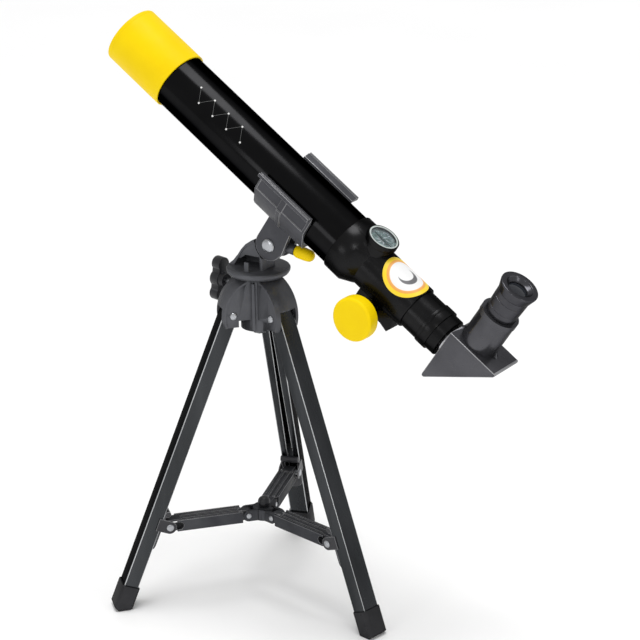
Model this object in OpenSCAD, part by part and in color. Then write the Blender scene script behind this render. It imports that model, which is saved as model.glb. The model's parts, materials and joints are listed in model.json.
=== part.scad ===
/* [Tripod] */
// Direction of the first leg round the pan axis (deg)
leg_azimuth = -9.5; // [-30:0.5:30]
// Distance of each leg pivot from the pan axis (mm)
pivot_r = 24.7; // [20:0.1:30]
// Height of the leg pivots above the floor (mm)
pivot_z = 253.9; // [200:0.1:300]
// Lean of each leg from upright (deg)
leg_lean = 21.67; // [10:0.01:30]
// Length of the pressed leg channel below its pivot (mm)
leg_len = 268; // [200:1:300]
// Width across the leg channel (mm)
leg_w = 16.2; // [12:0.1:22]
// Depth of the leg channel (mm)
leg_d = 12.5; // [8:0.1:18]
// Sheet thickness of the leg channel (mm)
leg_t = 1.6; // [1:0.1:2.5]
// How far the outer web stands outside the pivot line (mm)
leg_out = 7.2; // [5:0.1:10]
// Length of the sleeve foot (mm)
foot_len = 22; // [15:1:50]
// Wall of the sleeve foot (mm)
foot_wall = 1.5; // [0.8:0.1:3]

// Radius at which the sole turns up to the sloping toe (mm)
foot_toe = 130.5; // [126:0.5:134]

// Opening between the turned-in leg edges just above the bracket (mm)
lip_gap = 5; // [2:0.1:8]

/* [Spreader] */
// Height of the flat spreader above the floor (mm)
brace_z = 70.9; // [40:0.1:120]
// Distance of the inner arm pins from the pan axis (mm)
inner_pin_r = 14.8; // [12:0.1:20]
// Distance of the outer arm pins from the pan axis (mm)
outer_pin_r = 83.3; // [70:0.1:95]
// Width of an arm (mm)
arm_w = 15; // [10:0.5:20]
// Height of an arm (mm)
arm_h = 10; // [6:0.5:14]
// Travel of the outer pin in the arm slot (mm)
slot_len = 8.6; // [4:0.1:14]
// Half height of the arm slot (mm)
slot_r = 3.4; // [2.2:0.1:4]
// Radius of the ball knob on the spreader (mm)
ball_r = 5.3; // [4:0.1:8]

/* [Hub] */
// Radius of the domed hub (mm)
dome_r = 35; // [28:0.5:45]
// Height of the dome centre above the floor (mm)
dome_z = 252.8; // [240:0.1:265]
// Half width of each of the three dome slabs (mm)
slab_half = 12.5; // [10:0.1:16]
// Radius of the middle boss (mm)
boss_r = 15.4; // [12:0.1:20]
// Flat top of the hub above the floor (mm)
hub_top = 284; // [275:0.1:295]
// Radius of the pan spigot (mm)
spigot_r = 7; // [5:0.1:10]
// Direction of the pan lock knob round the pan axis (deg)
pan_lock_azimuth = 170.5; // [150:0.5:190]
// Height of the pan lock screw above the floor (mm)
pan_lock_z = 269.5; // [262:0.1:282]

/* [Head] */
// Radius of the turntable disc (mm)
disc_r = 26.3; // [20:0.1:35]
// Top of the turntable disc above the floor (mm)
disc_top = 291.2; // [286:0.1:300]
// Altitude axis ahead of the pan axis (mm)
alt_x = 17.5; // [0:0.1:30]
// Altitude axis above the floor (mm)
alt_z = 314; // [300:0.1:330]
// Radius of the round yoke tongue (mm)
tongue_r = 11; // [8:0.1:14]
// Thickness of the yoke tongue (mm)
tongue_t = 10.8; // [6:0.1:16]
// Radius of the altitude pin (mm)
alt_pin_r = 2.5; // [2:0.1:4]
// Downward slope of the altitude lock screw (deg)
alt_lock_slope = 8.7; // [0:0.1:20]

/* [Tube] */
// Upward tilt of the optical tube (deg)
tube_tilt = 33.6; // [0:0.1:60]
// Optical axis above the altitude axis (mm)
tube_rise = 50; // [40:0.5:70]
// Outer radius of the main tube (mm)
tube_r = 24; // [20:0.1:30]
// Outer radius of the dew shield (mm)
hood_r = 25.6; // [22:0.1:32]
// Length of the dew shield (mm)
hood_len = 58.7; // [40:0.1:80]
// Front end of the dew shield ahead of the altitude axis (mm)
front_x = 202.9; // [150:0.1:240]
// Radius of the objective lens (mm)
lens_r = 21; // [18:0.1:24]

/* [Focuser] */
// Outer radius of the focuser barrel (mm)
focus_r = 19.3; // [18.5:0.1:23]
// Outer radius of the draw tube (mm)
draw_r = 17.5; // [15:0.1:20]
// Radial running clearance of sliding and turning fits (mm)
fit_gap = 0.06; // [0.02:0.01:0.1]
// Focus shaft position behind the altitude axis (mm)
pinion_x = 102; // [90:0.5:115]
// Gear tooth module (mm)
gear_m = 1; // [0.8:0.1:1.2]
// Number of pinion teeth
gear_teeth = 11; // [10:1:14]
// Radius of each focus knob (mm)
knob_r = 18; // [12:0.5:24]
// Width of each focus knob (mm)
knob_w = 12; // [6:0.5:16]
// Radius of the compass cup (mm)
compass_r = 13.6; // [10:0.1:16]
// Compass position behind the altitude axis (mm)
compass_x = 74.6; // [70:0.1:85]

/* [Eyepiece end] */
// Diagonal mirror centre behind the altitude axis (mm)
diag_x = 185.7; // [180:0.1:200]
// Width of the diagonal housing (mm)
diag_w = 36; // [30:0.5:44]
// Radius of the chrome push fit barrels (mm)
barrel_r = 12.25; // [12:0.05:16]
// Outer radius of the eyepiece socket (mm)
socket_r = 15.3; // [14:0.1:18]
// Height of the eyepiece top above the optical axis (mm)
eye_top = 80.5; // [70:0.5:100]

/* [Export] */
// Node to show

/* [Hidden] */
$fn = 96;
eps = 0.02;
rivet_r = 2;
pin_r = 1.5;
leg_in = leg_out - leg_d;
leg_half = leg_w / 2;
arm_len = outer_pin_r - inner_pin_r;
brace_off = -13.1;
brace_drop = 191.7;
disc_low = hub_top + 0.1;
pinion_n = -(draw_r + 1.4 + gear_m * gear_teeth / 2);
gear_pr = gear_m * gear_teeth / 2;
gear_br = gear_pr * cos(20);
tip_r = gear_pr + gear_m * 0.95;
root_r = gear_pr - gear_m * 1.2;
slack = 0.09;
hood_x = -front_x;
socket_top = 51;
silver = [0.75, 0.76, 0.78];
black = [0.12, 0.12, 0.13];
grey = [0.35, 0.35, 0.38];
yellow = [0.95, 0.85, 0.05];

// ---------- frames ----------
module at_leg(i) rotate([0, 0, leg_azimuth + 120 * (i - 1)]) children();

module in_leg(i)
    at_leg(i) translate([pivot_r, 0, pivot_z]) rotate([0, -leg_lean, 0]) children();

module in_tube()
    translate([alt_x, 0, alt_z]) rotate([0, tube_tilt, 0])
        translate([0, 0, tube_rise]) children();

// cylinder along the tube, from x0 to x1
module tube_cyl(x0, x1, r)
    translate([x0, 0, 0]) rotate([0, 90, 0]) cylinder(r = r, h = x1 - x0);

// ring along the tube, from x0 to x1
module tube_ring(x0, x1, ro, ri)
    difference() {
        tube_cyl(x0, x1, ro);
        tube_cyl(x0 - 1, x1 + 1, ri);
    }

// cylinder along Y, centred
module y_cyl(r, half) rotate([90, 0, 0]) cylinder(r = r, h = 2 * half, center = true);

// profile of [x, r] points turned about the tube axis
module tube_turn(points)
    rotate([0, 90, 0]) rotate_extrude() polygon([for (p = points) [p[1], p[0]]]);

// flat outline of [x, z] points, centred across Y
module slab_xz(points, half)
    rotate([90, 0, 0]) translate([0, 0, -half]) linear_extrude(2 * half) polygon(points);

// outline of [y, z] points drawn out along X
module draw_x(points, x0, x1)
    translate([x0, 0, 0]) rotate([90, 0, 90]) linear_extrude(x1 - x0) polygon(points);

// low domed rivet head facing +Z
module dome_head(r, h)
    rotate_extrude() polygon([[0, 0], [r, 0], [r, h * 0.3], [r * 0.88, h * 0.66],
        [r * 0.6, h * 0.92], [r * 0.3, h], [0, h]]);

// ---------- hub ----------
module hub() color(grey)
    difference() {
        union() {
            for (i = [1:3]) at_leg(i) hub_slab();
            translate([0, 0, 239.3]) cylinder(r = boss_r, h = hub_top - 239.3);
            for (i = [1:3])
                at_leg(i) rotate([0, 0, 60])
                    translate([boss_r - 2, -1.2, 241]) cube([3.9, 2.4, 40]);
            rotate([0, 0, pan_lock_azimuth]) translate([boss_r - 2, 0, pan_lock_z])
                rotate([0, 90, 0]) cylinder(r = 4.4, h = 7);
        }
        translate([0, 0, 258]) cylinder(r = spigot_r + fit_gap, h = 30);
        translate([0, 0, 230]) cylinder(r = 3 + fit_gap, h = 40);
        rotate([0, 0, pan_lock_azimuth]) translate([4, 0, pan_lock_z])
            rotate([0, 90, 0]) cylinder(r = 2.4 + fit_gap, h = 25);
    }

module hub_slab()
    difference() {
        union() {
            intersection() {
                translate([0, 0, dome_z]) sphere(r = dome_r - 1.5);
                slab_block(slab_half - 0.8);
            }
            difference() {
                intersection() {
                    translate([0, 0, dome_z]) sphere(r = dome_r);
                    slab_block(slab_half);
                }
                translate([0, 0, dome_z]) sphere(r = dome_r - 1.5);
            }
        }
        translate([18.3, -8.5, 230]) cube([30, 17, 30.4]);
        translate([pivot_r, 0, pivot_z]) y_cyl(rivet_r, 20);
    }

module slab_block(half)
    union() {
        translate([0, -half, 249.5]) cube([40, 2 * half, hub_top - 249.5]);
        translate([20.3, -half, 244]) cube([20, 2 * half, 10]);
    }

module hub_rivets() color(silver)
    for (i = [1:3])
        at_leg(i) translate([pivot_r, 0, pivot_z]) {
            y_cyl(rivet_r, slab_half - 0.8);
            for (s = [0, 180])
                rotate([90, 0, s]) translate([0, 0, slab_half - 0.8])
                    dome_head(3.15, 1.5);
        }

// ---------- legs ----------
module leg(i) color(silver)
    in_leg(i) difference() {
        union() {
            translate([leg_out - leg_t, -leg_half, -leg_len])
                cube([leg_t, leg_w, leg_len + 4]);
            for (s = [-1, 1])
                translate([leg_in, s * (leg_half - leg_t / 2) - leg_t / 2, -leg_len])
                    cube([leg_d - 0.4, leg_t, leg_len]);
            for (s = [0, 1]) mirror([0, s, 0]) leg_lip();
            for (s = [-1, 1])
                translate([0, s * (leg_half - leg_t / 2), 0]) intersection() {
                    y_cyl(6, leg_t / 2);
                    translate([-5.3, -5, -1]) cube([12, 10, 8]);
                }
            for (s = [-1, 1])
                translate([0, s * (leg_half - leg_t / 2) - leg_t / 2, -1])
                    cube([leg_out - 0.4, leg_t, 5]);
        }
        y_cyl(rivet_r + fit_gap, 12);
    }
module leg_1() leg(1);
module leg_2() leg(2);
module leg_3() leg(3);

// one turned-in edge of the channel, closed below the bracket
module leg_lip()
    translate([leg_in, 0, 0]) rotate([90, 0, 90]) linear_extrude(leg_t)
        polygon([[leg_half, -leg_len], [leg_half, -30], [0.9, -30],
            [lip_gap / 2, -brace_drop + 8], [5.8, -brace_drop + 8],
            [5.8, -brace_drop - 15], [-0.1, -brace_drop - 15], [-0.1, -leg_len]]);

// rectangle of half sizes x and y with cut corners
module cut_corner(x, y, c, h)
    linear_extrude(h) polygon([[-x + c, -y], [x - c, -y], [x, -y + c], [x, y - c],
        [x - c, y], [-x + c, y], [-x, y - c], [-x, -y + c]]);

module foot(i) color(black)
    difference() {
        intersection() {
            in_leg(i) translate([leg_out - leg_d / 2, 0, -290])
                cut_corner(leg_d / 2 + foot_wall, leg_half + foot_wall, 1.8,
                    290 - 273.5 + foot_len);
            translate([-200, -200, 0]) cube([400, 400, 60]);
        }
        in_leg(i) translate([leg_in, -leg_half, -leg_len]) cube([leg_d, leg_w, 60]);
        at_leg(i) translate([foot_toe, -20, 0]) rotate([0, -50, 0])
            translate([0, 0, -20]) cube([20, 40, 20]);
    }
module foot_1() foot(1);
module foot_2() foot(2);
module foot_3() foot(3);

// ---------- leg brackets and spreader ----------
module leg_bracket(i) color(grey)
    in_leg(i) translate([0, 0, -brace_drop]) difference() {
        union() {
            translate([leg_in - leg_t, -leg_half, -17]) cube([leg_t, leg_w, 25]);
            translate([leg_in - leg_t, 0, -17]) rotate([0, 90, 0])
                cylinder(r = leg_half, h = leg_t);
            for (s = [-1, 1]) translate([0, s * (leg_half + 0.5), 0]) {
                translate([brace_off, -0.5, -5.5]) cube([-brace_off - 2, 1, 11]);
                translate([brace_off, 0, 0]) y_cyl(5.5, 0.5);
            }
            translate([leg_in - 2.5, 0, 10.5]) y_cyl(2.5, leg_half);
            translate([leg_in - leg_t, -leg_half, 7]) cube([leg_t, leg_w, 3.5]);
        }
        translate([brace_off, 0, 0]) y_cyl(rivet_r, 12);
        translate([leg_in - 6, -5.6, -13]) cube([10, 11.2, 18]);
    }
module leg_bracket_1() leg_bracket(1);
module leg_bracket_2() leg_bracket(2);
module leg_bracket_3() leg_bracket(3);

module brace_pin(i) color(silver)
    in_leg(i) translate([brace_off, 0, -brace_drop]) {
        y_cyl(rivet_r, leg_half + 1);
        for (s = [0, 180])
            rotate([90, 0, s]) translate([0, 0, leg_half + 1]) dome_head(3.1, 1.1);
    }
module brace_pin_1() brace_pin(1);
module brace_pin_2() brace_pin(2);
module brace_pin_3() brace_pin(3);

module arm(i) color(grey)
    at_leg(i) translate([inner_pin_r, 0, brace_z]) difference() {
        union() {
            translate([5.4, -arm_w / 2, -arm_h / 2]) cube([56.6, arm_w, arm_h - 1.1]);
            for (y = [-arm_w / 2, -3.3, 1.7, arm_w / 2 - 1.6])
                translate([5.4, y, 0]) cube([56.6, 1.6, arm_h / 2]);
            translate([0, -3.6, -4.4]) cube([8, 7.2, 8.8]);
            y_cyl(4.4, 3.6);
            translate([58, -5, -arm_h / 2]) cube([arm_len - 58, 10, arm_h]);
            translate([arm_len, 0, 0]) y_cyl(arm_h / 2, 5);
        }
        y_cyl(pin_r + fit_gap, 10);
        translate([arm_len - slot_len, -20, -slot_r]) cube([slot_len, 40, 2 * slot_r]);
        for (x = [arm_len - slot_len, arm_len]) translate([x, 0, 0]) y_cyl(slot_r, 20);
        translate([8, -arm_w / 2 + 1.6, -arm_h / 2 - 1]) cube([42, arm_w - 3.2, arm_h - 3]);
    }
module arm_1() arm(1);
module arm_2() arm(2);
module arm_3() arm(3);

module spreader_centre() color(grey)
    difference() {
        union() {
            translate([0, 0, brace_z - 4.8]) cylinder(r = 9.6, h = 9.6);
            for (i = [1:3]) at_leg(i) for (s = [-1, 1])
                translate([0, s * 5.1, brace_z]) {
                    translate([4, -1.3, -4.8]) cube([inner_pin_r - 4, 2.6, 9.6]);
                    translate([inner_pin_r, 0, 0]) y_cyl(4.8, 1.3);
                }
        }
        for (i = [1:3]) at_leg(i) translate([inner_pin_r, 0, brace_z]) {
            y_cyl(pin_r, 12);
            translate([-5.2, -3.75, -8]) cube([12, 7.5, 16]);
        }
        translate([0, 0, brace_z - 3]) cylinder(r = 2, h = 12);
    }

module spreader_pins() color(silver)
    for (i = [1:3]) at_leg(i) translate([inner_pin_r, 0, brace_z]) {
        y_cyl(pin_r, 6.4);
        for (s = [0, 180]) rotate([90, 0, s]) translate([0, 0, 6.4]) dome_head(2.3, 0.8);
    }

module spreader_knob() color(black)
    union() {
        translate([0, 0, brace_z - 3]) cylinder(r = 2, h = 10);
        intersection() {
            translate([0, 0, brace_z + 8.8]) sphere(r = ball_r);
            translate([-9, -9, brace_z + 4.8]) cube([18, 18, 12]);
        }
    }

// ---------- pan lock ----------
module at_pan_lock()
    rotate([0, 0, pan_lock_azimuth]) translate([0, 0, pan_lock_z]) rotate([0, 90, 0]) children();

module pan_lock_screw() color(silver)
    at_pan_lock() translate([0, 0, spigot_r + 0.3]) cylinder(r = 2.4, h = 39);

module pan_lock_wing() color(black)
    at_pan_lock() difference() {
        rotate([0, 0, 8]) union() {
            translate([0, 0, 38]) cylinder(r = 6, h = 5.2);
            translate([0, 0, 43]) cylinder(r = 7, h = 9);
            for (s = [-1, 1]) translate([s * 12.6, 0, 43]) cylinder(r = 6, h = 9);
            translate([-12.6, -4.6, 43]) cube([25.2, 9.2, 9]);
        }
        translate([0, 0, 28]) cylinder(r = 2.4, h = spigot_r + 11.3);
    }

// ---------- head ----------
module yoke() color(black)
    difference() {
        union() {
            translate([0, 0, disc_low]) rotate_extrude()
                polygon([[0, 0], [19.5, 0], [22.6, 0.7], [24.9, 2.1], [26, 3.8],
                    [disc_r, 5.2], [disc_r, 5.9], [25.8, 6.7], [24.8, disc_top - disc_low],
                    [0, disc_top - disc_low]]);
            translate([0, 0, 258.3]) cylinder(r = spigot_r, h = 30);
            slab_xz([[6, 318], [0, 315.2], [-6, 311], [-10.3, 306.3], [-14, 301],
                [-18.5, 295.6], [-24, 291], [-18.5, 291], [-15.2, 296], [-11.3, 302],
                [-7.5, 307.4], [-2, 311.4], [3.5, 314.4]], 9);
            slab_xz([[5.5, 316], [-3, 312], [-8.5, 307.6], [-12.8, 302], [-15.5, 297.8],
                [-12, 297.8], [-7, 301.6], [10, 301.8], [14, 306]], 8);
            translate([0, 7.2, 0]) slab_xz([[-21, 291], [8, 291], [8, 302], [-14, 302]], 0.8);
            slab_xz([[8, 291], [10.5, 291], [10.5, 303], [22, 304.1], [alt_x, alt_z],
                [6.8, 312]], tongue_t / 2);
            translate([8, -9, 290.5]) cube([2.5, 18, 12.5]);
            translate([alt_x, 0, alt_z]) y_cyl(tongue_r, tongue_t / 2);
            translate([-1, -18, 290]) cube([4, 1.4, 9]);
            translate([alt_x, 0, alt_z]) rotate([0, 90 + alt_lock_slope, 0])
                cylinder(r = 4.25, h = 20.4);
        }
        for (s = [-1, 1]) translate([alt_x, s * (tongue_t / 2 + 5), alt_z])
            y_cyl(14.8, 5);
        translate([alt_x, 0, alt_z]) y_cyl(alt_pin_r + fit_gap, 20);
        translate([alt_x, 0, alt_z]) rotate([0, 90 + alt_lock_slope, 0])
            cylinder(r = 2 + fit_gap, h = 24);
        translate([0, 0, 240]) cylinder(r = 3, h = 42);
    }

module pan_bolt() color(silver)
    union() {
        translate([0, 0, 238]) cylinder(r = 3, h = 44);
        translate([0, 0, 238.1]) cylinder(r = 8, h = 1.1);
        translate([0, 0, 234.1]) cylinder(r = 5.6, h = 4.1, $fn = 6);
    }

module altitude_lock_screw() color(silver)
    translate([alt_x, 0, alt_z]) rotate([0, 90 + alt_lock_slope, 0])
        translate([0, 0, alt_pin_r + 0.4]) cylinder(r = 2, h = 30);

module altitude_lock_knob() color(yellow)
    translate([alt_x, 0, alt_z]) rotate([0, 90 + alt_lock_slope, 0]) difference() {
        rotate_extrude() polygon([[0, 20.8], [3.7, 20.8], [4.7, 21.6], [5.15, 23.2],
            [5.25, 29], [5, 33.6], [4.4, 35.9], [3.2, 37.4], [1.6, 38.2], [0, 38.3]]);
        translate([0, 0, 18]) cylinder(r = 2, h = 14.9 + alt_pin_r - 2.5);
    }

module altitude_bolt() color(silver)
    translate([alt_x, 0, alt_z]) {
        translate([0, 1.6, 0]) y_cyl(alt_pin_r, 11.1);
        rotate([90, 0, 0]) translate([0, 0, 9.5]) dome_head(5.75, 2.4);
    }

module altitude_nut() color(silver)
    translate([alt_x, 9.5, alt_z]) rotate([-90, 0, 0]) difference() {
        cylinder(r = 4.6, h = 2.4, $fn = 6);
        translate([0, 0, -1]) cylinder(r = alt_pin_r, h = 6);
    }

// ---------- tube ----------
module cradle() color(grey)
    in_tube() difference() {
        union() {
            draw_x([[35.4, 11], [28, 11], [28, -4.5], [17, -22], [13, -26], [-13, -26],
                [-17, -22], [-28, -4.5], [-28, 11], [-35.4, 11], [-35.4, 14],
                [-34.2, 14], [-34.2, 13.1], [-32.6, 13.1], [-32.6, 14], [-27.6, 12.2],
                [-23.8, 4], [23.8, 4], [27.6, 12.2], [32.6, 14], [32.6, 13.1],
                [34.2, 13.1], [34.2, 14], [35.4, 14]], -28.4, 27);
            draw_x([[28, -4.5], [29, -4.8], [18, -22.6], [13.6, -27], [-13.6, -27],
                [-18, -22.6], [-29, -4.8], [-28, -4.5], [-20, -4.5], [-17, -22],
                [-13, -25], [13, -25], [17, -22], [20, -4.5]], -3.2, 1.2);
        }
        tube_cyl(-40, 40, 24.15);
        for (s = [-1, 1]) {
            translate([-27.2, s * 28 - 0.8, -3.8]) cube([23.6, 1.6, 10.2]);
            translate([1.6, s * 28 - 0.8, -3.8]) cube([23, 1.6, 10.2]);
            translate([-4, s * 7.5 - 2, -28]) cube([6, 4, 2]);
        }
    }

// ear plate below the cradle; side is -1 near and 1 far
module cradle_ear(side) color(grey)
    in_tube() translate([0, side * 7.5, -tube_rise]) difference() {
        union() {
            y_cyl(12.8, 2);
            slab_xz([[-12.8, 0], [-12.8, 24], [10.6, 24], [14, 1], [8.2, -9.6], [0, 0]], 2);
        }
        y_cyl(alt_pin_r, 5);
    }
module cradle_ear_near() cradle_ear(-1);
module cradle_ear_far() cradle_ear(1);

module main_tube() color(black)
    in_tube() tube_ring(hood_x + 46.9, 60, tube_r, tube_r - 1.2);

module hood() color(yellow)
    in_tube() difference() {
        tube_cyl(hood_x, hood_x + hood_len, hood_r);
        tube_cyl(hood_x - 1, hood_x + 37, hood_r - 1.3);
        tube_cyl(hood_x + 30, hood_x + hood_len + 1, tube_r);
    }

module lens_cell() color(black)
    in_tube() difference() {
        union() {
            tube_cyl(hood_x + 37, hood_x + 46.9, tube_r);
            tube_cyl(hood_x + 40, hood_x + 58, tube_r - 1.2);
        }
        tube_cyl(hood_x + 30, hood_x + 60, lens_r - 1.5);
        tube_cyl(hood_x + 30, hood_x + 43.5, lens_r);
    }

module objective_lens() color([0.8, 0.85, 0.9, 0.4])
    in_tube() translate([hood_x + 38, 0, 0]) tube_turn([[1.5, lens_r], [0.85, 18.5],
        [0.3, 15], [-0.1, 11], [-0.35, 7], [-0.45, 3], [-0.5, 0], [5.5, 0], [5.5, lens_r]]);

module lens_ring() color(black)
    in_tube() tube_ring(hood_x + 37.2, hood_x + 38.9, lens_r, lens_r - 1.8);

module focuser_housing() color(black)
    in_tube() difference() {
        union() {
            tube_turn([[51, 0], [51, 25.2], [51.6, hood_r], [66.5, hood_r], [77, 20.2],
                [78, focus_r], [128.4, focus_r], [129, focus_r - 0.6], [129, 0]]);
            translate([84, -9, -28.2]) cube([29, 18, 20]);
            slab_xz([[104, -28.2], [113.4, -28.2], [121.4, -30.2], [121.9, -29.8],
                [121.9, -10], [104, -10]], 9);
            translate([pinion_x, 0, pinion_n]) y_cyl(9, 9);
            translate([pinion_x, 0, pinion_n]) y_cyl(6, 22);
            translate([compass_x, 0, 10]) cylinder(r = compass_r - 0.4, h = 12.4);
        }
        tube_cyl(50, 60, tube_r);
        tube_cyl(59, 66, 20.6);
        translate([66, 0, 0]) rotate([0, 90, 0]) cylinder(r1 = 20.6, r2 = 18, h = 10);
        tube_cyl(60, 135, draw_r + fit_gap);
        translate([59, -3.4, -20.6]) cube([80, 6.8, 10]);
        translate([pinion_x, 0, pinion_n]) y_cyl(7, 3.8);
        translate([pinion_x, 0, pinion_n]) y_cyl(3 + fit_gap, 40);
        translate([compass_x, 0, 22.4]) cylinder(r = compass_r, h = 20);
    }

// ---------- compass ----------
module at_compass() in_tube() translate([compass_x, 0, 22.4]) children();

module compass_cup() color(black)
    at_compass() difference() {
        cylinder(r = compass_r, h = 5);
        translate([0, 0, 1.2]) cylinder(r = compass_r - 1.1, h = 6);
    }

module compass_dial() color([0.75, 0.8, 0.76])
    at_compass() translate([0, 0, 1.2]) cylinder(r = compass_r - 1.1, h = 0.6);

module compass_pivot() color(silver)
    at_compass() translate([0, 0, 1.8]) cylinder(r = 0.5, h = 1.7);

module compass_glass() color([0.8, 0.85, 0.9, 0.4])
    at_compass() translate([0, 0, 3.9]) cylinder(r = compass_r - 1.1, h = 0.7);

module compass_bezel() color(silver)
    at_compass() translate([0, 0, 4.6]) difference() {
        cylinder(r = compass_r - 1.1, h = 0.5);
        translate([0, 0, -1]) cylinder(r = compass_r - 2.3, h = 3);
    }

module compass_needle() color([0.8, 0.1, 0.1])
    at_compass() translate([0, 0, 2.5]) difference() {
        linear_extrude(0.5) polygon([[-9.4, 0], [0, -1.6], [9.4, 0], [0, 1.6]]);
        translate([0, 0, -1]) cylinder(r = 0.56, h = 3);
    }

// ---------- focuser ----------
module draw_tube() color(black)
    in_tube() difference() {
        tube_ring(62, 145, draw_r, draw_r - 1.9);
        translate([64, -3, -20]) cube([56, 6, 3.6]);
    }

module rack() color(silver)
    in_tube() {
        translate([64, -3, -(draw_r + 0.15)]) cube([56, 6, 1.25]);
        for (k = [-12:5]) translate([pinion_x + (k + 0.5) * PI * gear_m, 0, -(draw_r + 1.4)])
            slab_xz([[-0.785 * gear_m + slack + 0.22, -0.6], [0.785 * gear_m - slack - 0.22, -0.6],
                [0.785 * gear_m - slack + 0.46, 1.3], [-0.785 * gear_m + slack - 0.46, 1.3]], 3);
    }

module draw_collar() color(black)
    in_tube() difference() {
        union() {
            tube_cyl(137, 146, draw_r - 1.9);
            tube_turn([[145, 0], [145, 18], [145.4, 18.4], [154.6, 18.4], [155, 18],
                [155, 17], [163.6, 17], [164, 16.6], [164, 0]]);
        }
        tube_cyl(130, 170, barrel_r + fit_gap);
    }

// half angle of a pinion tooth at radius r
function inv(a) = tan(a) * 180 / PI - a;
function tooth_a(r) = 90 / gear_teeth - slack / gear_pr * 180 / PI + inv(20)
    - inv(acos(min(1, gear_br / max(r, gear_br))));
function tooth(c) = concat(
    [for (r = [root_r, gear_br, gear_pr - 0.1, gear_pr + 0.4, tip_r]) [r, c - tooth_a(r)]],
    [for (r = [tip_r, gear_pr + 0.4, gear_pr - 0.1, gear_br, root_r]) [r, c + tooth_a(r)]]);

module pinion() color(silver)
    in_tube() translate([pinion_x, 0, pinion_n]) {
        y_cyl(3, 36);
        rotate([90, 0, 0]) translate([0, 0, -3]) linear_extrude(6)
            polygon([for (k = [0:gear_teeth - 1]) for (p = tooth(90 + 360 / gear_teeth * k))
                [p[0] * cos(p[1]), p[0] * sin(p[1])]]);
    }

module focus_knobs() color(yellow)
    in_tube() translate([pinion_x, 0, pinion_n]) for (s = [0, 180])
        rotate([90, 0, s]) difference() {
            rotate_extrude() polygon([[0, 22.4], [7, 22.4], [7, 26], [knob_r - 2, 26],
                [knob_r - 0.6, 26.6], [knob_r, 28], [knob_r, 24 + knob_w],
                [knob_r - 0.5, 25.2 + knob_w], [knob_r - 2, 26 + knob_w], [0, 26.4 + knob_w]]);
            translate([0, 0, 20]) cylinder(r = 3, h = 16);
        }

// ---------- diagonal and eyepiece ----------
module diagonal_nose() color(silver)
    in_tube() tube_ring(140, 170, barrel_r, barrel_r - 1);

module diagonal_body() color(grey)
    in_tube() difference() {
        union() {
            slab_xz([[167.3, 18.2], [167.3, -28], [168.2, -29.8], [170.2, -29.8],
                [214.8, 15.3], [214.8, 17.4], [214, 18.2]], diag_w / 2);
            translate([diag_x, 0, 17]) cylinder(r = socket_r, h = socket_top - 17);
            translate([diag_x, 0, 46]) cylinder(r = socket_r + 0.5, h = socket_top - 46);
            slab_xz([[diag_x - 19, 18], [diag_x - 15, 18], [diag_x - 15, 22.5]], 1.2);
            slab_xz([[diag_x + 19, 18], [diag_x + 15, 18], [diag_x + 15, 22.5]], 1.2);
        }
        intersection() {
            union() {
                tube_cyl(160, 220, barrel_r - 1);
                translate([diag_x, 0, -20]) cylinder(r = barrel_r - 1, h = 80);
            }
            slab_xz([[diag_x - 37, -37], [diag_x + 63, 63], [diag_x - 37, 163]], 30);
        }
        tube_cyl(160, 170, barrel_r);
        translate([diag_x, 0, 24]) cylinder(r = barrel_r + fit_gap, h = 60);
        translate([diag_x, 0, 0]) rotate([0, -45, 0]) translate([-17, -13, -2]) cube([34, 26, 2]);
    }

module diagonal_mirror() color(silver)
    in_tube() translate([diag_x, 0, 0]) rotate([0, -45, 0])
        translate([-17, -13, -2]) cube([34, 26, 2]);

module at_eye() in_tube() translate([diag_x, 0, 0]) children();

module eyepiece_barrel() color(silver)
    at_eye() difference() {
        translate([0, 0, 26]) cylinder(r = barrel_r, h = 30);
        translate([0, 0, 20]) cylinder(r = barrel_r - 1, h = 50);
    }

module eyepiece_body() color(black)
    at_eye() difference() {
        rotate_extrude() polygon([[0, socket_top + 0.2], [12.8, socket_top + 0.2], [13.6, 72],
            [13.9, 72.4], [15.8, 78.8], [15.8, eye_top - 0.5], [15.3, eye_top], [0, eye_top]]);
        translate([0, 0, 40]) cylinder(r = barrel_r, h = 16);
        translate([0, 0, 40]) cylinder(r = 8, h = 50);
        translate([0, 0, eye_top - 3]) cylinder(r1 = 8, r2 = 10.6, h = 3.02);
        translate([0, 0, 66]) cylinder(r = 9, h = 8);
    }

module eye_lens() color([0.8, 0.85, 0.9, 0.4])
    at_eye() intersection() {
        translate([0, 0, 74.5]) cylinder(r = 8, h = 5);
        translate([0, 0, 77.2 - 30]) sphere(r = 30);
    }

module field_lens() color([0.8, 0.85, 0.9, 0.4])
    at_eye() intersection() {
        translate([0, 0, 30]) cylinder(r = barrel_r - 1, h = 6);
        translate([0, 0, 34 - 40]) sphere(r = 40);
    }

hub();
hub_rivets();
leg_1();
leg_2();
leg_3();
foot_1();
foot_2();
foot_3();
leg_bracket_1();
leg_bracket_2();
leg_bracket_3();
brace_pin_1();
brace_pin_2();
brace_pin_3();
arm_1();
arm_2();
arm_3();
spreader_centre();
spreader_pins();
spreader_knob();
pan_lock_screw();
pan_lock_wing();
yoke();
pan_bolt();
altitude_lock_screw();
altitude_lock_knob();
altitude_bolt();
altitude_nut();
cradle();
cradle_ear_near();
cradle_ear_far();
main_tube();
hood();
lens_cell();
objective_lens();
lens_ring();
focuser_housing();
compass_cup();
compass_dial();
compass_pivot();
compass_glass();
compass_bezel();
compass_needle();
draw_tube();
rack();
draw_collar();
pinion();
focus_knobs();
diagonal_nose();
diagonal_body();
diagonal_mirror();
eyepiece_barrel();
eyepiece_body();
eye_lens();
field_lens();
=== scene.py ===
import json
import math

import bmesh
import bpy
from mathutils import Matrix, Vector


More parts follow.
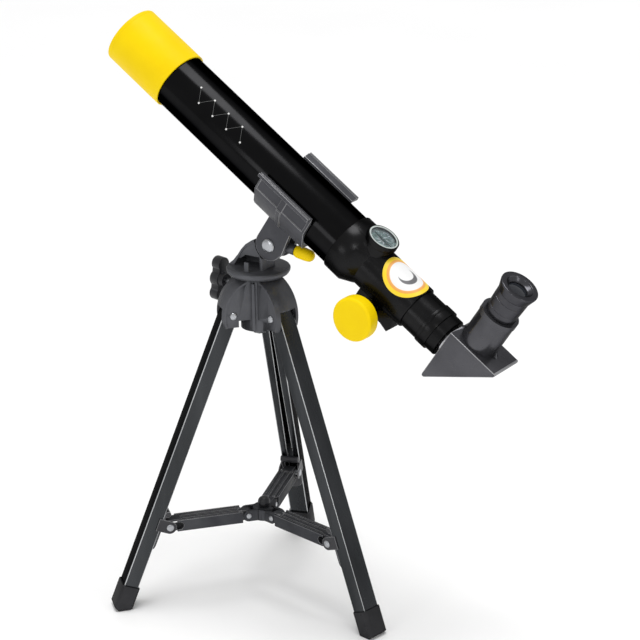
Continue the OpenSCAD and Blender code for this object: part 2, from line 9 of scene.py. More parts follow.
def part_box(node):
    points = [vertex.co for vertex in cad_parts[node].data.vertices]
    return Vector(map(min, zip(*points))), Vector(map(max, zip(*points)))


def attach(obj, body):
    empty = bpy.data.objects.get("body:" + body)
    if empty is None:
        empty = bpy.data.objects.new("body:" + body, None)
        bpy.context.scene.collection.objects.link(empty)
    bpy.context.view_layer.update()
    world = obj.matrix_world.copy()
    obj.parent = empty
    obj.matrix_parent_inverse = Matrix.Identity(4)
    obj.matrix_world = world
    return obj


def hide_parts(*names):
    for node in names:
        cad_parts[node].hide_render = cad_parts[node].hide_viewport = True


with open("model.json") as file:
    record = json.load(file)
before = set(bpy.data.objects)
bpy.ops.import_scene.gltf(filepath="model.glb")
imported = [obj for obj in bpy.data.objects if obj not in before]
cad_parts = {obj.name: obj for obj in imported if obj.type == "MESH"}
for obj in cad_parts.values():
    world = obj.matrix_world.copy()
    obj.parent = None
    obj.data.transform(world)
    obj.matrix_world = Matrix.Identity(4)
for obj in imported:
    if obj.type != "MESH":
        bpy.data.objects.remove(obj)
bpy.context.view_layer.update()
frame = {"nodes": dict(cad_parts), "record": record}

NODES = frame["nodes"]
RECORD = frame["record"]
NODE_BODY = {n: b for b, ns in RECORD["behaviour"]["bodies"].items() for n in ns}
NODE_SLOT = {s["node"]: s["material_slot"] for s in RECORD["subparts"]}

# Driving sizes of the tube, in millimetres, the same as the CAD part's.
MM = 0.001
TILT = math.radians(33.6)
ALTITUDE_AXIS = (17.5, 0, 314)
TUBE_RISE = 50
TUBE_R = 24
HOOD_X, HOOD_LEN, HOOD_R = -202.9, 58.7, 25.6
BARREL_R = 19.36
COMPASS_X, COMPASS_Z = 74.6, 22.4
KNOB_X, KNOB_Z, KNOB_R = 102, -24.4, 18
DIAG_X = 185.7

# The tube's own frame: x along the tube toward the eyepiece, z away from the altitude axis.
TUBE = (Matrix.Translation(Vector(ALTITUDE_AXIS) * MM)
        @ Matrix.Rotation(TILT, 4, "Y")
        @ Matrix.Translation(Vector((0, 0, TUBE_RISE)) * MM)
        @ Matrix.Scale(MM, 4))
QUARTER_TURN = math.pi / 2


# ---------------------------------------------------------------- materials
def new_mat(name):
    """An empty node material with one Principled shader."""
    m = bpy.data.materials.new(name)
    m.use_nodes = True
    nt = m.node_tree
    for n in list(nt.nodes):
        nt.nodes.remove(n)
    out = nt.nodes.new("ShaderNodeOutputMaterial")
    bsdf = nt.nodes.new("ShaderNodeBsdfPrincipled")
    nt.links.new(bsdf.outputs["BSDF"], out.inputs["Surface"])
    return m, nt, bsdf


def add(nt, kind, **props):
    """Adds one node and sets its properties."""
    n = nt.nodes.new(kind)
    for k, v in props.items():
        setattr(n, k, v)
    return n


def coords(nt, scale=(1, 1, 1)):
    """Object coordinates, stretched by scale."""
    tc = add(nt, "ShaderNodeTexCoord")
    mp = add(nt, "ShaderNodeMapping")
    mp.inputs["Scale"].default_value = scale
    nt.links.new(tc.outputs["Object"], mp.inputs["Vector"])
    return mp.outputs["Vector"]


def noise(nt, vec, scale, detail=3.0, rough=0.5):
    n = add(nt, "ShaderNodeTexNoise")
    n.inputs["Scale"].default_value = scale
    n.inputs["Detail"].default_value = detail
    n.inputs["Roughness"].default_value = rough
    nt.links.new(vec, n.inputs["Vector"])
    return n.outputs["Fac"]


def remap(nt, fac, lo, hi, a=0.3, b=0.7):
    """Maps the range a to b of a value onto lo to hi."""
    n = add(nt, "ShaderNodeMapRange")
    n.inputs["From Min"].default_value = a
    n.inputs["From Max"].default_value = b
    n.inputs["To Min"].default_value = lo
    n.inputs["To Max"].default_value = hi
    nt.links.new(fac, n.inputs["Value"])
    return n.outputs["Result"]


def mix(nt, fac, c1, c2):
    """Blends two colours, each a tuple or another node's output."""
    n = add(nt, "ShaderNodeMix", data_type="RGBA")
    for k, v in (("A", c1), ("B", c2)):
        sock = [s for s in n.inputs if s.name == k and s.type == "RGBA"][0]
        if isinstance(v, (tuple, list)):
            sock.default_value = (*v[:3], 1)
        else:
            nt.links.new(v, sock)
    if isinstance(fac, float):
        n.inputs["Factor"].default_value = fac
    else:
        nt.links.new(fac, n.inputs["Factor"])
    return [s for s in n.outputs if s.type == "RGBA"][0]


def bump(nt, bsdf, parts):
    """Chains (height, strength, distance) bumps into the normal."""
    last = None
    for h, s, d in parts:
        b = add(nt, "ShaderNodeBump")
        b.inputs["Strength"].default_value = s
        b.inputs["Distance"].default_value = d
        nt.links.new(h, b.inputs["Height"])
        if last:
            nt.links.new(last, b.inputs["Normal"])
        last = b.outputs["Normal"]
    nt.links.new(last, bsdf.inputs["Normal"])


# Mask of the outward edges, used to lighten them as a painted highlight.
def edge_highlight_mask(nt, lo=0.52, hi=0.6):
    """Rises from 0 to 1 on the outward edges of a mesh."""
    g = add(nt, "ShaderNodeNewGeometry")
    return remap(nt, g.outputs["Pointiness"], 0.0, 1.0, lo, hi)


def plastic(name, dark, light, rough=(0.35, 0.55), grain=1800, grain_bump=0.12,
            cloud=35, metallic=0.0, stretch=(1, 1, 1), edge_highlight_colour=None, edge_highlight_amount=0.35,
            specular=0.5, tint=1.0):
    """Moulded plastic or paint: clouded colour and roughness, and a fine grain.

    With metallic near one and tint zero the reflection fades to black at grazing angles."""
    m, nt, b = new_mat(name)
    vec = coords(nt)
    big = noise(nt, coords(nt, stretch), cloud, 4.0, 0.55)
    fine = noise(nt, vec, grain, 2.0, 0.6)
    col = mix(nt, remap(nt, big, 0.0, 1.0), dark, light)
    # Outward edges lightened toward the given colour: a painted highlight.
    if edge_highlight_colour:
        w = add(nt, "ShaderNodeMath", operation="MULTIPLY")
        nt.links.new(edge_highlight_mask(nt), w.inputs[0])
        w.inputs[1].default_value = edge_highlight_amount
        col = mix(nt, w.outputs[0], col, edge_highlight_colour)
    nt.links.new(col, b.inputs["Base Color"])
    rg = noise(nt, coords(nt, stretch), cloud * 3.1, 5.0, 0.6)
    nt.links.new(remap(nt, rg, rough[0], rough[1]), b.inputs["Roughness"])
    b.inputs["Metallic"].default_value = metallic
    b.inputs["Specular IOR Level"].default_value = specular
    b.inputs["Specular Tint"].default_value = (tint, tint, tint, 1)
    bump(nt, b, [(fine, grain_bump, 0.0002), (big, 0.04, 0.0006)])
    return m


def glass(name, lo=(0.82, 0.9, 0.9), hi=(0.9, 0.95, 1.0), clear=0.85, ior=1.45, coat=0.6):
    m, nt, b = new_mat(name)
    vec = coords(nt)
    f = noise(nt, vec, 60, 2.0)
    nt.links.new(remap(nt, f, 0.0, 0.06), b.inputs["Roughness"])
    nt.links.new(mix(nt, remap(nt, f, 0, 1), lo, hi), b.inputs["Base Color"])
    b.inputs["Transmission Weight"].default_value = clear
    b.inputs["IOR"].default_value = ior
    b.inputs["Coat Weight"].default_value = coat
    bump(nt, b, [(f, 0.02, 0.0002)])
    return m


def metal(name, dark, light, rough):
    """Bare or plated metal with a fine polished grain."""
    m, nt, b = new_mat(name)
    f = noise(nt, coords(nt), 900, 3.0, 0.6)
    c = noise(nt, coords(nt), 40, 4.0, 0.6)
    nt.links.new(mix(nt, remap(nt, c, 0, 1), dark, light), b.inputs["Base Color"])
    nt.links.new(remap(nt, c, rough[0], rough[1]), b.inputs["Roughness"])
    b.inputs["Metallic"].default_value = 1.0
    bump(nt, b, [(f, 0.08, 0.0001)])
    return m


MAT = {
    "hub_plastic": plastic("hub_plastic", (0.082, 0.084, 0.092), (0.12, 0.122, 0.132),
                           (0.3, 0.42), 1500, 0.14, metallic=0.5, specular=0.3, tint=0.0),
    "head_plastic": plastic("head_plastic", (0.062, 0.063, 0.07), (0.088, 0.089, 0.098),
                            (0.36, 0.48), 1500, 0.14, metallic=0.25, specular=0.3, tint=0.0),
    "bracket_plastic": plastic("bracket_plastic", (0.03, 0.03, 0.034), (0.048, 0.048, 0.052),
                               (0.35, 0.5), 1500, 0.12, specular=0.3),
    "spreader_plastic": plastic("spreader_plastic", (0.045, 0.046, 0.052), (0.075, 0.077, 0.083),
                                (0.3, 0.44), 1500, 0.12, metallic=0.6, specular=0.3, tint=0.0),
    "diagonal_plastic": plastic("diagonal_plastic", (0.072, 0.072, 0.079), (0.1, 0.1, 0.109),
                                (0.2, 0.3), 1600, 0.1, metallic=0.75, specular=0.4, tint=0.0),
    "eyepiece_plastic": plastic("eyepiece_plastic", (0.05, 0.05, 0.056), (0.075, 0.075, 0.082),
                                (0.16, 0.24), 1600, 0.06, metallic=0.8, tint=0.0),
    "leg_metal": plastic("leg_metal", (0.034, 0.036, 0.038), (0.06, 0.063, 0.067),
                         (0.2, 0.32), 2200, 0.05, stretch=(1, 1, 0.12), metallic=0.95,
                         tint=0.0, specular=0.3),
    "foot_rubber": plastic("foot_rubber", (0.03, 0.03, 0.032), (0.05, 0.05, 0.053),
                           (0.26, 0.4), 1200, 0.15, metallic=0.7, tint=0.0, specular=0.3),
    # The next two materials colour the rounded edge faces lighter than the parts: painted
    # highlights along the edges.
    "soft_edge_highlight": plastic("soft_edge_highlight", (0.26, 0.26, 0.27), (0.4, 0.4, 0.41), (0.28, 0.4),
                         1500, 0.08, metallic=0.5, tint=0.0),
    "leg_edge_highlight": plastic("leg_edge_highlight", (0.42, 0.43, 0.44), (0.62, 0.63, 0.64), (0.25, 0.38),
                        2200, 0.05, stretch=(1, 1, 0.12), metallic=0.9, tint=0.0),
    "knob_black": plastic("knob_black", (0.012, 0.012, 0.014), (0.022, 0.022, 0.025),
                          # Black knobs with lighter outward edges: a painted highlight.
                          (0.3, 0.42), 1500, 0.12, edge_highlight_colour=(0.12, 0.12, 0.13), specular=0.3),
    "yellow_plastic": plastic("yellow_plastic", (0.90, 0.63, 0.0), (0.94, 0.68, 0.001),
                              (0.42, 0.55), 1400, 0.07, specular=0.12),
    "tube_black": plastic("tube_black", (0.0105, 0.0105, 0.011), (0.0135, 0.0135, 0.014),
                          (0.14, 0.17), 2600, 0.02, metallic=1.0, tint=0.0),
    "black_plastic": plastic("black_plastic", (0.014, 0.014, 0.0145), (0.021, 0.021, 0.0215),
                             (0.2, 0.3), 1700, 0.06, metallic=0.9, tint=0.0, specular=0.3),
    "clear_glass": glass("clear_glass"),
    "dial_glass": glass("dial_glass", clear=0.97, ior=1.15, coat=0.0),
    # Eyepiece lens tinted near black: painted shade for the dark inside seen through it.
    "eye_glass": glass("eye_glass", (0.012, 0.014, 0.02), (0.03, 0.033, 0.04), clear=0.25,
                       coat=0.0),
    "rivet_steel": metal("rivet_steel", (0.34, 0.35, 0.37), (0.5, 0.51, 0.53), (0.24, 0.36)),
    "chrome": metal("chrome", (0.42, 0.42, 0.44), (0.54, 0.54, 0.56), (0.08, 0.16)),
    "bezel_metal": plastic("bezel_metal", (0.42, 0.47, 0.45), (0.56, 0.61, 0.59), (0.2, 0.32),
                           1500, 0.05),
    "gear_metal": metal("gear_metal", (0.62, 0.5, 0.2), (0.74, 0.62, 0.3), (0.22, 0.34)),
    "mirror": metal("mirror", (0.9, 0.91, 0.93), (0.95, 0.95, 0.96), (0.02, 0.05)),
    "needle_red": plastic("needle_red", (0.02, 0.05, 0.045), (0.04, 0.08, 0.07), (0.25, 0.35)),
    "dial_print": plastic("dial_print", (0.035, 0.06, 0.052), (0.26, 0.34, 0.31), (0.3, 0.45),
                          cloud=420),
    "white_print": plastic("white_print", (0.6, 0.6, 0.59), (0.75, 0.75, 0.73), (0.4, 0.5)),
    "grey_print": plastic("grey_print", (0.07, 0.07, 0.07), (0.11, 0.11, 0.11), (0.4, 0.5)),
}


# Nodes that look different from the rest of their slot.
LOOK = {"yoke": "hub_plastic", "compass_glass": "dial_glass", "eye_lens": "eye_glass"}


# ---------------------------------------------------------------- mesh helpers
def finish_piece(obj, node_or_body, mat, replaces=(), smooth=32):
    """Material, smoothing, body and replaced nodes of a new piece."""
    body = NODE_BODY.get(node_or_body, node_or_body)
    if mat is not None:
        obj.data.materials.clear()
        obj.data.materials.append(MAT[mat] if isinstance(mat, str) else mat)
    me = obj.data
    if smooth:
        me.polygons.foreach_set("use_smooth", [True] * len(me.polygons))
        me.set_sharp_from_angle(angle=math.radians(smooth))
    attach(obj, body)
    if replaces:
        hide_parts(*replaces)
    return obj


def mesh_obj(name, verts, faces):
    me = bpy.data.meshes.new(name)
    me.from_pydata([tuple(v) for v in verts], [], faces)
    me.validate()
    o = bpy.data.objects.new(name, me)
    bpy.context.collection.objects.link(o)
    return o


def recalc(o):
    """Merges double points and turns all faces outward."""
    bm = bmesh.new()
    bm.from_mesh(o.data)
    bmesh.ops.remove_doubles(bm, verts=bm.verts, dist=1e-7)
    bmesh.ops.recalc_face_normals(bm, faces=bm.faces)
    bm.to_mesh(o.data)
    bm.free()


def round_profile(pts, r, steps=4):
    """Rounds each inner corner of an open profile by radius r (or its own third value)."""
    out = []
    for i, p in enumerate(pts):
        rr = p[2] if len(p) > 2 else r
        if i in (0, len(pts) - 1) or rr <= 0:
            out.append(Vector(p[:2]))
            continue
        p0, p1, p2 = Vector(pts[i - 1][:2]), Vector(p[:2]), Vector(pts[i + 1][:2])
        d0, d2 = (p0 - p1), (p2 - p1)
        l0, l2 = d0.length, d2.length
        if l0 < 1e-9 or l2 < 1e-9:
            continue
        cut = min(rr, l0 * 0.45, l2 * 0.45)
        a, b = p1 + d0 / l0 * cut, p1 + d2 / l2 * cut
        for k in range(steps + 1):
            t = k / steps
            out.append(a * (1 - t) ** 2 + p1 * 2 * t * (1 - t) + b * t ** 2)
    return out


def lathe(name, profile, matrix, seg=128, r=0.35, closed=True):
    """Turns [x, radius] points about the local x axis. closed joins the last point to the first."""
    pts = round_profile(profile, r)
    verts, faces = [], []
    n = len(pts)
    for k in range(seg):
        a = 2 * math.pi * k / seg
        for p in pts:
            verts.append(matrix @ Vector((p[0], p[1] * math.sin(a), p[1] * math.cos(a))))
    for k in range(seg):
        k2 = (k + 1) % seg
        for i in range(n - 1 if not closed else n):
            j = (i + 1) % n
            faces.append((k * n + i, k2 * n + i, k2 * n + j, k * n + j))
    o = mesh_obj(name, verts, faces)
    recalc(o)
    return o


def softened(node, width=0.4, seg=3, edge=None, angle=35, long_edges=0):
    """A new piece in a CAD node's place with small rounded edges, as moulded or pressed.

    With long_edges only the sharp edges longer than that many millimetres are rounded."""
    src = NODES[node].data
    bm = bmesh.new()
    bm.from_mesh(src)
    bmesh.ops.remove_doubles(bm, verts=bm.verts, dist=2e-6)
    bmesh.ops.dissolve_limit(bm, angle_limit=math.radians(1.0), verts=bm.verts,
                             edges=bm.edges, use_dissolve_boundaries=False)
    bmesh.ops.recalc_face_normals(bm, faces=bm.faces)
    for f in bm.faces:
        f.material_index = 0
    if long_edges:
        weight = bm.edges.layers.float.new("bevel_weight_edge")
        for e in bm.edges:
            if (e.calc_length() > long_edges * MM and len(e.link_faces) == 2
                    and e.calc_face_angle(0) > math.radians(angle)):
                e[weight] = 1.0
    me = bpy.data.meshes.new(node + "_soft")
    bm.to_mesh(me)
    bm.free()
    me.materials.append(MAT[LOOK.get(node, NODE_SLOT[node])])
    # The rounded edge faces take the second, lighter material: a painted highlight along each sharp
    # edge.
    if edge:
        me.materials.append(MAT[edge])
    o = bpy.data.objects.new(node + "_soft", me)
    bpy.context.collection.objects.link(o)
    bv = o.modifiers.new("edges", "BEVEL")
    bv.width = width * MM
    bv.segments = seg
    bv.limit_method = "WEIGHT" if long_edges else "ANGLE"
    bv.angle_limit = math.radians(angle)
    bv.use_clamp_overlap = not long_edges
    bv.harden_normals = False
    bv.material = 1 if edge else -1
    dg = bpy.context.evaluated_depsgraph_get()
    done = bpy.data.meshes.new_from_object(o.evaluated_get(dg))
    o.modifiers.clear()
    o.data = done
    lim_lo, lim_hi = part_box(node)
    for v in o.data.vertices:
        v.co = Vector([min(max(c, a), b) for c, a, b in zip(v.co, lim_lo, lim_hi)])
    return finish_piece(o, node, None, replaces=(node,), smooth=40)


# ---------------------------------------------------------------- camera and light
CAMERA_POS = Vector((0.992, -1.325, 0.8525))
CAMERA_LOOK = Vector((0.0406, 0.0285, 0.2433))
CAMERA_ROLL = -0.0133
FLOOR_HALF = 14.0


def make_camera():
    cam = bpy.data.cameras.new("camera")
    obj = bpy.data.objects.new("camera", cam)
    bpy.context.collection.objects.link(obj)
    ahead = (CAMERA_LOOK - CAMERA_POS).normalized()
    right = ahead.cross(Vector((0, 0, 1))).normalized()
    up = right.cross(ahead)
    right, up = (right + up * CAMERA_ROLL).normalized(), (up - right * CAMERA_ROLL).normalized()
    turn = Matrix((right, up, -ahead)).transposed().to_4x4()
    obj.matrix_world = Matrix.Translation(CAMERA_POS) @ turn
    cam.sensor_width = 36
    cam.lens = 2142.7 / 640 * 36
    cam.clip_start, cam.clip_end = 0.05, 50
    bpy.context.scene.camera = obj


def area(name, loc, target, size, power, size_y=None, along=None):
    """An area light that faces a target, with its width along a direction if one is given."""
    l = bpy.data.lights.new(name, "AREA")
    l.energy, l.size = power, size
    if size_y:
        l.shape, l.size_y = "RECTANGLE", size_y
    o = bpy.data.objects.new(name, l)
    o.location = loc
    d = (Vector(target) - Vector(loc)).normalized()
    if along:
        z = -d
        x = (along - z * along.dot(z)).normalized()
        o.rotation_euler = Matrix((x, z.cross(x), z)).transposed().to_euler()
    else:
        o.rotation_euler = d.to_track_quat("-Z", "Y").to_euler()
    bpy.context.collection.objects.link(o)


def mirrored_panel(name, spot, outside, along, distance, size, size_y, power):
    """A small light standing where the camera sees it mirrored at a spot on a round surface."""
    out = (outside - spot).normalized()
    seen = (spot - CAMERA_POS).normalized()
    area(name, spot + (seen - 2 * seen.dot(out) * out) * distance, spot, size, power,
         size_y=size_y, along=along)


def studio():
    """White world, a sun from straight above, three small lights and a pale floor."""
    w = bpy.data.worlds.new("studio")
    bpy.context.scene.world = w
    w.use_nodes = True
    bg = w.node_tree.nodes["Background"]
    bg.inputs["Color"].default_value = (1, 1, 1, 1)
    bg.inputs["Strength"].default_value = 0.58
    sun = bpy.data.lights.new("overhead", "SUN")
    sun.energy, sun.angle = 1.75, math.radians(34)
    o = bpy.data.objects.new("overhead", sun)
    o.rotation_euler = (0, 0, 0)
    bpy.context.collection.objects.link(o)
    mirrored_panel("side_streak", surf(50, 72, 24), surf(50, 72, 30), TUBE.to_3x3().col[0],
                   0.8, 0.30, 0.22, 0.56)
    area("front", (0.9, -1.3, 1.1), (0.05, 0, 0.2), 0.3, 2.3)
    area("side", (2.3, -0.2, 0.9), (0.2, 0, 0.3), 0.3, 3.2, size_y=1.0)
    bm = bmesh.new()
    s = FLOOR_HALF
    for x, y in ((-s, -s), (s, -s), (s, s), (-s, s)):
        bm.verts.new((x, y, -0.0004))
    bm.verts.ensure_lookup_table()
    bm.faces.new(bm.verts)
    bmesh.ops.subdivide_edges(bm, edges=bm.edges, cuts=8, use_grid_fill=True)
    me = bpy.data.meshes.new("floor")
    bm.to_mesh(me)
    bm.free()
    floor = bpy.data.objects.new("floor", me)
    bpy.context.collection.objects.link(floor)
    m, nt, b = new_mat("floor")
    f = noise(nt, coords(nt), 3, 2)
    nt.links.new(mix(nt, remap(nt, f, 0, 1), (0.93, 0.93, 0.93), (0.95, 0.95, 0.95)),
                 b.inputs["Base Color"])
    b.inputs["Roughness"].default_value = 0.45
    me.materials.append(m)


# ---------------------------------------------------------------- tube pieces
def build_tube():
    """Thin-walled tube and the dew shield with its front groove."""
    inner = TUBE_R - 1.2
    o = lathe("tube_shell", [(-156, inner), (-156, TUBE_R), (60, TUBE_R), (60, inner)],
              TUBE, 160, 0.2)
    finish_piece(o, "main_tube", "tube_black", ("main_tube",))
    x0, x1, r, groove = HOOD_X, HOOD_X + HOOD_LEN, HOOD_R, HOOD_R - 0.15
    o = lathe("dew_shield", [
        (x0, 24.3, 0.5), (x0, r, 0.8), (x0 + 3.0, r, 0.1), (x0 + 3.2, groove, 0.1),
        (x0 + 3.9, groove, 0.1), (x0 + 4.1, r, 0.1), (x1, r, 0.5),
        (x1, 24.05, 0.3), (x0 + 37, 24.05, 0.1), (x0 + 37, 24.3, 0.1)], TUBE, 160)
    finish_piece(o, "hood", "yellow_plastic", ("hood",))


def surf(x, deg, r):
    """Point at radius r round the tube axis, deg degrees from the top toward the near side."""
    a = math.radians(deg)
    return TUBE @ Vector((x, -r * math.sin(a), r * math.cos(a)))


def star_print():
    """A plain, even zigzag of dots and thin lines on the near side of the tube. It stands in
    for the picture printed there in the photo, and takes no dot or line from it."""
    count, first_x, step_x = 8, -118, 8
    high_deg, low_deg, dot_r = 35, 60, 0.8
    stars = [(first_x + step_x * i, low_deg if i % 2 else high_deg) for i in range(count)]
    verts, faces = [], []
    r = TUBE_R + 0.035

    def strip(p, q, w):
        n = 14
        dx, da = q[0] - p[0], (q[1] - p[1]) * math.pi / 180 * r
        ln = math.hypot(dx, da)
        ux, ua = dx / ln, da / ln
        base = len(verts)
        for k in range(n + 1):
            t = k / n
            x, a = p[0] + dx * t, p[1] * math.pi / 180 * r + da * t
            for s in (-1, 1):
                xx, aa = x - ua * s * w, a + ux * s * w
                verts.append(surf(xx, math.degrees(aa / r), r))
        for k in range(n):
            b = base + 2 * k
            faces.append((b, b + 1, b + 3, b + 2))

    def dot(p, rad):
        base = len(verts)
        verts.append(surf(p[0], p[1], r + 0.01))
        n = 20
        for k in range(n):
            t = 2 * math.pi * k / n
            verts.append(surf(p[0] + rad * math.cos(t),
                              p[1] + math.degrees(rad * math.sin(t) / r), r + 0.01))
        for k in range(n):
            faces.append((base, base + 1 + k, base + 1 + (k + 1) % n))

    for p, q in zip(stars, stars[1:]):
        strip(p, q, 0.13)
    o = mesh_obj("star_lines", verts, faces)
    recalc_out(o)
    finish_piece(o, "tube", "grey_print", smooth=0)
    verts, faces = [], []
    for p in stars:
        dot(p, dot_r)
    o = mesh_obj("star_dots", verts, faces)
    recalc_out(o)
    finish_piece(o, "tube", "white_print", smooth=0)


def recalc_out(o):
    """Points every face of a thin print away from the tube axis."""
    inv = TUBE.inverted()
    me = o.data
    bm = bmesh.new()
    bm.from_mesh(me)
    bm.faces.ensure_lookup_table()
    bm.normal_update()
    for f in bm.faces:
        c = inv @ f.calc_center_median()
        out = (TUBE.to_3x3() @ Vector((0, c.y, c.z))).normalized()
        if f.normal.dot(out) < 0:
            f.normal_flip()
    bm.to_mesh(me)
    bm.free()


def sticker():
    """Round label wrapped over the focuser barrel: coloured rings, plain centre, a crescent."""
    rad, x0, r, turn = 19.5, 108.8, BARREL_R, 11
    rings, seg = 26, 96
    verts, faces, uv = [surf(x0, turn, r)], [], [(0, 0)]
    for i in range(1, rings + 1):
        rho = rad * i / rings
        for k in range(seg):
            t = 2 * math.pi * k / seg
            dx, da = rho * math.cos(t), rho * math.sin(t)
            verts.append(surf(x0 + dx, turn + math.degrees(da / r), r))
            uv.append((dx / 40, da / 40))
    for k in range(seg):
        faces.append((0, 1 + k, 1 + (k + 1) % seg))
    for i in range(rings - 1):
        for k in range(seg):
            a, b = 1 + i * seg + k, 1 + i * seg + (k + 1) % seg
            faces.append((a, b, b + seg, a + seg))
    o = mesh_obj("round_label", verts, faces)
    layer = o.data.uv_layers.new(name="flat")
    for l in o.data.loops:
        layer.data[l.index].uv = uv[l.vertex_index]
    recalc_out(o)
    m, nt, b = new_mat("label_print")
    u = add(nt, "ShaderNodeUVMap", uv_map="flat")
    ln = add(nt, "ShaderNodeVectorMath", operation="LENGTH")
    nt.links.new(u.outputs["UV"], ln.inputs[0])
    ramp = add(nt, "ShaderNodeValToRGB")
    mul = add(nt, "ShaderNodeMath", operation="MULTIPLY")
    mul.inputs[1].default_value = 2.0
    nt.links.new(ln.outputs["Value"], mul.inputs[0])
    nt.links.new(mul.outputs[0], ramp.inputs["Fac"])
    el = ramp.color_ramp.elements
    el[0].position, el[0].color = 0.0, (0.86, 0.86, 0.86, 1)
    el[1].position, el[1].color = 1.0, (0.93, 0.66, 0.005, 1)
    for pos, c in ((0.69, (0.86, 0.86, 0.86, 1)), (0.71, (0.86, 0.42, 0.10, 1)),
                   (0.80, (0.84, 0.36, 0.05, 1)), (0.83, (0.93, 0.66, 0.005, 1))):
        e = el.new(pos)
        e.color = c
    # crescent: inside one circle and outside another
    def disc(cx, cy, rr):
        sub = add(nt, "ShaderNodeVectorMath", operation="SUBTRACT")
        nt.links.new(u.outputs["UV"], sub.inputs[0])
        sub.inputs[1].default_value = (cx, cy, 0)
        l2 = add(nt, "ShaderNodeVectorMath", operation="LENGTH")
        nt.links.new(sub.outputs[0], l2.inputs[0])
        return remap(nt, l2.outputs["Value"], 1.0, 0.0, rr - 0.006, rr + 0.006)
    inner = disc(-0.05, 0.0, 0.17)
    outer = disc(0.02, 0.0, 0.2)
    sub = add(nt, "ShaderNodeMath", operation="SUBTRACT", use_clamp=True)
    nt.links.new(outer, sub.inputs[0])
    nt.links.new(inner, sub.inputs[1])
    fib = noise(nt, coords(nt), 500, 3)
    base = mix(nt, sub.outputs[0], ramp.outputs["Color"], (0.12, 0.12, 0.13))
    tint = mix(nt, remap(nt, fib, 0.0, 0.06), base, (0.6, 0.6, 0.55))
    nt.links.new(tint, b.inputs["Base Color"])
    nt.links.new(remap(nt, fib, 0.32, 0.42), b.inputs["Roughness"])
    bump(nt, b, [(fib, 0.03, 0.0001)])
    finish_piece(o, "tube", m)


def build_compass():
    """Cup, pale rim and the printed rose of a small compass."""
    m = (TUBE @ Matrix.Translation(Vector((COMPASS_X, 0, COMPASS_Z)))
         @ Matrix.Rotation(-QUARTER_TURN, 4, "Y"))
    o = lathe("compass_cup_shell", [(0, 0.0), (0, 13.6, 0.3), (5.0, 13.6, 0.5), (5.0, 12.5, 0.2),
                                    (1.2, 12.5), (1.2, 0.0)], m, 96, closed=False)
    finish_piece(o, "compass_cup", "black_plastic", ("compass_cup",))
    o = lathe("compass_rim", [(4.6, 12.5, 0.1), (5.1, 12.5, 0.25), (5.1, 11.3, 0.3),
                              (4.6, 11.2, 0.1)], m, 96)
    finish_piece(o, "compass_bezel", "bezel_metal", ("compass_bezel",))
    verts, faces = [], []

    def poly(pts, z):
        base = len(verts)
        for x, y in pts:
            verts.append(m @ Vector((z, x, y)))
        faces.append(tuple(range(base, base + len(pts))))

    for k in range(36):
        a = math.radians(10 * k)
        r0, w = (8.4, 0.34) if k % 3 == 0 else (9.4, 0.2)
        c, s = math.cos(a), math.sin(a)
        poly([(r0 * c - w * s, r0 * s + w * c), (r0 * c + w * s, r0 * s - w * c),
              (10.9 * c + w * s, 10.9 * s - w * c), (10.9 * c - w * s, 10.9 * s + w * c)], 1.86)
    for k in range(8):
        a = math.radians(45 * k)
        ln = 8.0 if k % 2 == 0 else 6.4
        b1 = a + math.radians(45 / 2)
        poly([(0, 0), (3.4 * math.cos(b1), 3.4 * math.sin(b1)),
              (ln * math.cos(a), ln * math.sin(a))], 1.86)
    o = mesh_obj("compass_marks", verts, faces)
    finish_piece(o, "tube", "white_print", smooth=0)


def build_eyepiece():
    """Turned eyepiece body with two grooves, a flared cup and a hollow inside."""
    m = (TUBE @ Matrix.Translation(Vector((DIAG_X, 0, 0)))
         @ Matrix.Rotation(-QUARTER_TURN, 4, "Y"))
    o = lathe("eyepiece_shell", [
        (51.2, 12.3), (51.2, 12.8, 0.2), (57, 12.95, 0.1), (57.15, 12.75, 0.05),
        (57.75, 12.75, 0.05), (57.9, 13.0, 0.1), (66.2, 13.35, 0.1), (66.35, 13.1, 0.05),
        (66.9, 13.1, 0.05), (67.05, 13.4, 0.1), (72, 13.6, 0.1), (72.4, 13.9, 0.15),
        (78.8, 15.75, 0.5), (80.0, 15.8, 0.4), (80.5, 15.2, 0.3), (80.5, 11.4, 0.3),
        (79.6, 10.7, 0.2), (78.0, 8.9, 0.2), (77.4, 8.0, 0.1), (74.2, 8.0, 0.1),
        (74, 9, 0.1), (66, 9, 0.1), (66, 8, 0.1), (56, 8.0, 0.1), (56, 12.25, 0.1)], m, 128, 0.2)
    finish_piece(o, "eyepiece_body", "eyepiece_plastic", ("eyepiece_body",))


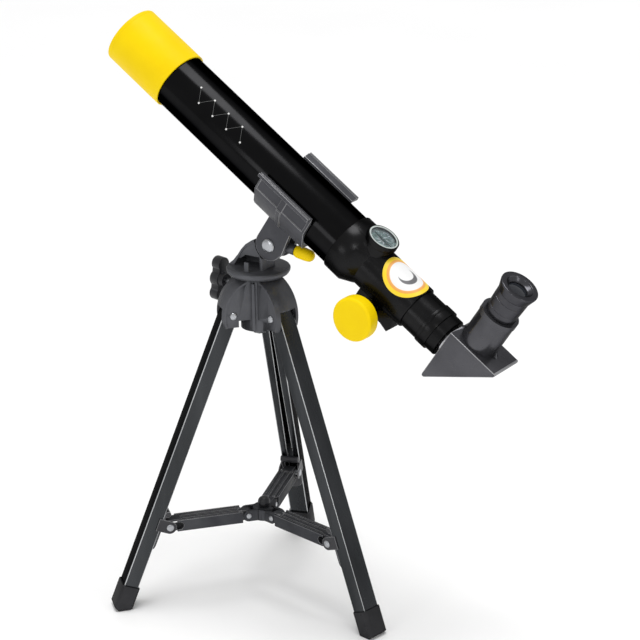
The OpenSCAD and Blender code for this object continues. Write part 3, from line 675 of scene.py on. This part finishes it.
def build_focuser_end():
    """Draw tube collar with its steps, and the two fluted focus knobs."""
    o = lathe("collar_shell", [
        (137, 12.4), (137, 15.6, 0.2), (145, 15.6, 0.1), (145, 18.3, 0.35),
        (147.6, 18.4, 0.1), (147.8, 18.15, 0.05), (148.4, 18.15, 0.05), (148.6, 18.4, 0.1),
        (155, 18.35, 0.4), (155.1, 17, 0.2), (163.4, 17, 0.6), (164, 16.2, 0.4),
        (164, 12.4, 0.3)], TUBE, 128, 0.2)
    finish_piece(o, "draw_collar", "black_plastic", ("draw_collar",))
    for s, side in ((-1, "near"), (1, "far")):
        mm = (TUBE @ Matrix.Translation(Vector((KNOB_X, 0, KNOB_Z)))
              @ Matrix.Rotation(QUARTER_TURN * s, 4, "Z"))
        prof = [(22.4, 3.02), (22.4, 7, 0.5), (26, 7, 0.2), (26, KNOB_R - 1.4, 0.2),
                (27.4, KNOB_R, 1.2), (36.6, KNOB_R, 1.6), (38, KNOB_R - 1.6, 1.2),
                (38.35, 9, 0.1), (38.4, 0.0)]
        pts = round_profile(prof, 0.3)
        seg, n = 180, len(pts)
        verts, faces = [], []
        for k in range(seg):
            a = 2 * math.pi * k / seg
            flute = 0.10 * math.cos(60 * a)
            for p in pts:
                r = p[1] - (0.12 - flute if 27.6 < p[0] < 36.4 and p[1] > 17 else 0)
                verts.append(mm @ Vector((p[0], r * math.sin(a), r * math.cos(a))))
        for k in range(seg):
            k2 = (k + 1) % seg
            for i in range(n - 1):
                faces.append((k * n + i, k2 * n + i, k2 * n + i + 1, k * n + i + 1))
        o = mesh_obj("focus_knob_" + side, verts, faces)
        recalc(o)
        finish_piece(o, "focus_knobs", "yellow_plastic", ("focus_knobs",))


make_camera()
studio()
build_tube()
star_print()
sticker()
build_compass()
build_eyepiece()
build_focuser_end()

# Rounded copies of the CAD parts; where an edge material is given, its edge faces carry a painted
# highlight.
for node, width in (("hub", 0.35), ("yoke", 0.4), ("cradle", 0.35), ("cradle_ear_near", 0.35),
                    ("cradle_ear_far", 0.35), ("spreader_centre", 0.35)):
    softened(node, width, edge="soft_edge_highlight")
softened("diagonal_body", 0.55, edge="soft_edge_highlight", long_edges=9)
for node, width in (("focuser_housing", 0.35), ("pan_lock_wing", 1.2), ("spreader_knob", 0.4)):
    softened(node, width)
for i in (1, 2, 3):
    softened(f"leg_{i}", 0.6, edge="leg_edge_highlight", long_edges=40)
    softened(f"foot_{i}", 1.1, seg=4)
    softened(f"leg_bracket_{i}", 0.3, edge="soft_edge_highlight")
    softened(f"arm_{i}", 0.3, edge="soft_edge_highlight")

for name, obj in NODES.items():
    mat = MAT[LOOK.get(name, NODE_SLOT[name])]
    if not obj.material_slots:
        obj.data.materials.append(mat)
    for s in obj.material_slots:
        s.link = "OBJECT"
        s.material = mat

bpy.context.scene.view_settings.view_transform = "Standard"
